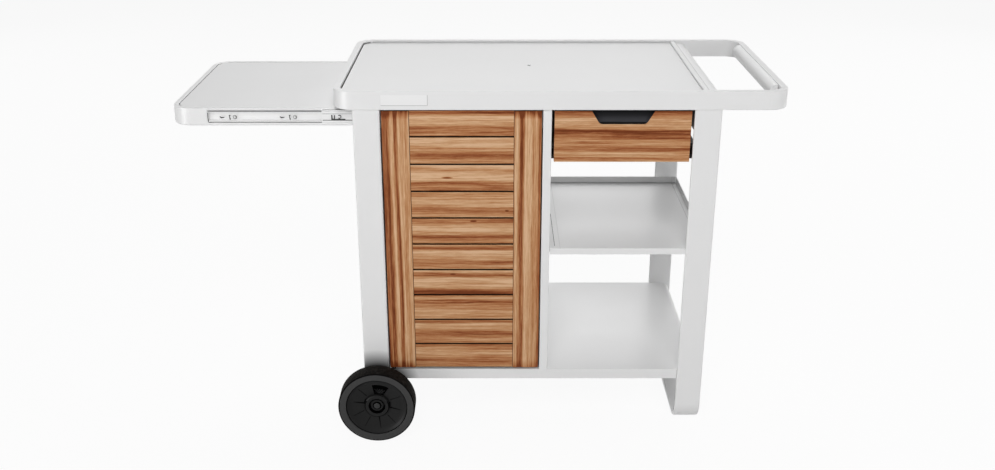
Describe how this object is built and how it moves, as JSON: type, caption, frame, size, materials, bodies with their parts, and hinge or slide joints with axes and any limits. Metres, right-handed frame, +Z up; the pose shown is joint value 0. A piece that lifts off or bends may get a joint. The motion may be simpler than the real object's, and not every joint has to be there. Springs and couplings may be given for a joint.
{
  "type": "grill cart",
  "caption": "Wheeled cart for a table grill, with a raised-rim worktop, pull-out side table, slatted cabinet door, drawer, open shelves and a bar handle.",
  "frame": {"origin": "on the floor, under the middle of the cart's box with its side table drawn out", "axes": "+X to the handle end, +Y to the back, +Z up"},
  "size_m": [1.366, 0.7, 0.83],
  "materials": {
    "white_metal": "smooth white powder coat",
    "wood": "oiled, strong light and dark grain",
    "black_plastic": "moulded, matt",
    "tyre": "fine cross-hatched tread",
    "hub_plastic": "moulded, satin",
    "zinc_steel": "zinc plated",
    "dark_steel": "black coated"
  },
  "bodies": {
    "frame": {"axle": "zinc_steel", "axle_caps": "black_plastic", "axle_spacers": "hub_plastic", "axle_washers": "zinc_steel", "back_panel": "white_metal", "badge_plate": "white_metal", "bottom_shelf": "white_metal", "cross_member": "white_metal", "divider_panel": "white_metal", "door_catch": "black_plastic", "door_pivot_washer": "black_plastic", "drawer_rail": "dark_steel", "drawer_slide_outers": "dark_steel", "handle_grip": "white_metal", "handle_screws": "zinc_steel", "left_back_leg": "white_metal", "left_front_leg": "white_metal", "left_side_panel": "white_metal", "middle_shelf": "white_metal", "right_leg_loop": "white_metal", "right_top_beam": "dark_steel", "shelf_rails": "white_metal", "slide_screws": "zinc_steel", "table_rail_back": "white_metal", "table_rail_front": "white_metal", "table_slide_outers": "zinc_steel", "top_rim": "white_metal", "worktop_panel": "white_metal", "worktop_stiffeners": "white_metal", "worktop_strip": "white_metal"},
    "table": {"table_rim": "white_metal", "table_panel": "white_metal", "table_slide_inners": "zinc_steel"},
    "table_middles": {"table_slide_middles": "zinc_steel", "table_slide_latches": "black_plastic"},
    "door": {"door_battens": "wood", "door_pins": "zinc_steel", "door_slat_01": "wood", "door_slat_02": "wood", "door_slat_03": "wood", "door_slat_04": "wood", "door_slat_05": "wood", "door_slat_06": "wood", "door_slat_07": "wood", "door_slat_08": "wood", "door_slat_09": "wood", "door_slat_10": "wood", "door_stile_left": "wood", "door_stile_right": "wood", "door_strike": "zinc_steel"},
    "drawer": {"drawer_front": "wood", "drawer_grip_insert": "black_plastic", "drawer_box": "white_metal", "drawer_slide_inners": "dark_steel"},
    "drawer_middles": {"drawer_slide_middles": "dark_steel"},
    "front_wheel": {"front_tyre": "tyre", "front_wheel_hub": "hub_plastic"},
    "back_wheel": {"back_tyre": "tyre", "back_wheel_hub": "hub_plastic"}
  },
  "joints": [
    {"name": "table_slide", "type": "slide", "parent": "frame", "child": "table", "axis": [1, 0, 0], "range_m": [0, 0.355]},
    {"name": "table_middle_slide", "type": "slide", "parent": "frame", "child": "table_middles", "axis": [1, 0, 0], "range_m": [0, 0.1775]},
    {"name": "door_hinge", "type": "hinge", "parent": "frame", "child": "door", "pos_m": [-0.203, -0.26, 0.47], "axis": [0, 0, -1], "range_deg": [0, 48]},
    {"name": "drawer_slide", "type": "slide", "parent": "frame", "child": "drawer", "axis": [0, -1, 0], "range_m": [0, 0.4]},
    {"name": "drawer_middle_slide", "type": "slide", "parent": "frame", "child": "drawer_middles", "axis": [0, -1, 0], "range_m": [0, 0.2]},
    {"name": "front_wheel_spin", "type": "hinge", "parent": "frame", "child": "front_wheel", "pos_m": [-0.2385, -0.328, 0.09], "axis": [0, 1, 0], "continuous": true},
    {"name": "back_wheel_spin", "type": "hinge", "parent": "frame", "child": "back_wheel", "pos_m": [-0.2385, 0.328, 0.09], "axis": [0, 1, 0], "continuous": true}
  ],
  "couplings": [
    {"joint": "table_middle_slide", "follows": "table_slide", "ratio": 0.5},
    {"joint": "drawer_middle_slide", "follows": "drawer_slide", "ratio": 0.5}
  ]
}
